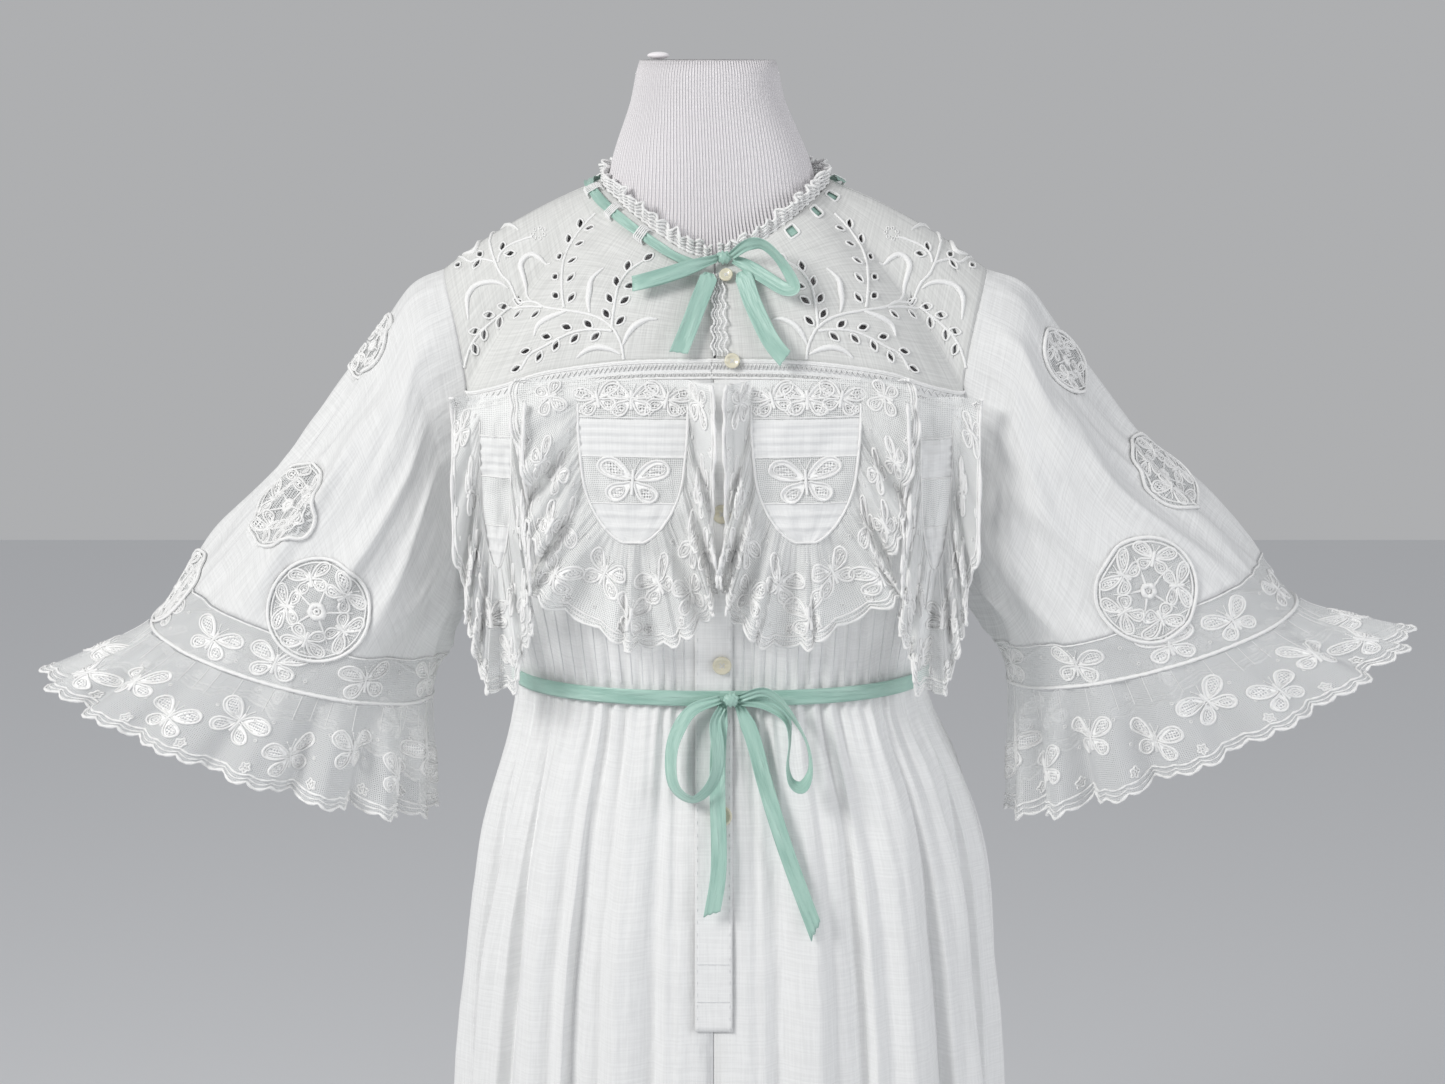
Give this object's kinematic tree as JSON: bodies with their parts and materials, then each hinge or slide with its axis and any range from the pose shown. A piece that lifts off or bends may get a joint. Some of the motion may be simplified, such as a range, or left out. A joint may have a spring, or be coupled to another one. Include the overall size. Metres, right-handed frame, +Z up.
{
  "type": "cotton dress on a dress form",
  "caption": "White cotton dress with embroidered yoke, lace bertha, wide lace-edged sleeves and mint ribbon ties, worn by a limbless dress form on a round stand.",
  "frame": {"origin": "centre of the round base's underside, on the floor", "axes": "+Z up, the front of the dress faces -Y, +X is the wearer's left"},
  "size_m": [1.1433, 0.4967, 1.5245],
  "materials": {
    "lawn": "fine white cotton lawn",
    "sheer": "sheer embroidered cotton",
    "lace": "cotton net lace with corded motifs",
    "ribbon": "mint silk ribbon, soft sheen",
    "shell": "ivory shell button",
    "jersey": "pale ribbed jersey over a foam form",
    "pole": "polished tube",
    "base": "black satin paint"
  },
  "bodies": {
    "root": {"back": "lawn", "band_back": "lace", "band_front_l": "lace", "band_front_r": "lace", "button_band": "shell", "button_chest": "shell", "button_hip": "shell", "button_neck": "shell", "button_waist": "shell", "form_base": "base", "form_knob": "jersey", "form_pole": "pole", "form_torso": "jersey", "frill_back_l": "lace", "frill_back_r": "lace", "frill_front_l": "lace", "frill_front_r": "lace", "frill_side_l": "lace", "frill_side_r": "lace", "front_l": "lawn", "front_r": "lawn", "medallion_front_l": "lace", "medallion_front_r": "lace", "medallion_head_l": "lace", "medallion_head_r": "lace", "medallion_outer_r": "lace", "medallion_top_l": "lace", "medallion_top_r": "lace", "neck_knot": "ribbon", "neck_lace": "lace", "neck_loop_l": "ribbon", "neck_loop_r": "ribbon", "neck_ribbon": "ribbon", "neck_ribbon_under": "ribbon", "neck_tail_l": "ribbon", "neck_tail_r": "ribbon", "opening_lace": "lace", "placket": "lawn", "sleeve_band_l": "lace", "sleeve_band_r": "lace", "sleeve_frill_l": "lace", "sleeve_frill_r": "lace", "sleeve_l": "lawn", "sleeve_r": "lawn", "tongue_back_l": "lawn", "tongue_back_r": "lawn", "tongue_front_l": "lawn", "tongue_front_r": "lawn", "tongue_side_l": "lawn", "tongue_side_r": "lawn", "waist_knot": "ribbon", "waist_loop_l": "ribbon", "waist_loop_r": "ribbon", "waist_ribbon": "ribbon", "waist_tail_l": "ribbon", "waist_tail_r": "ribbon", "yoke_back": "sheer", "yoke_front_l": "sheer", "yoke_front_r": "sheer"}
  },
  "joints": []
}
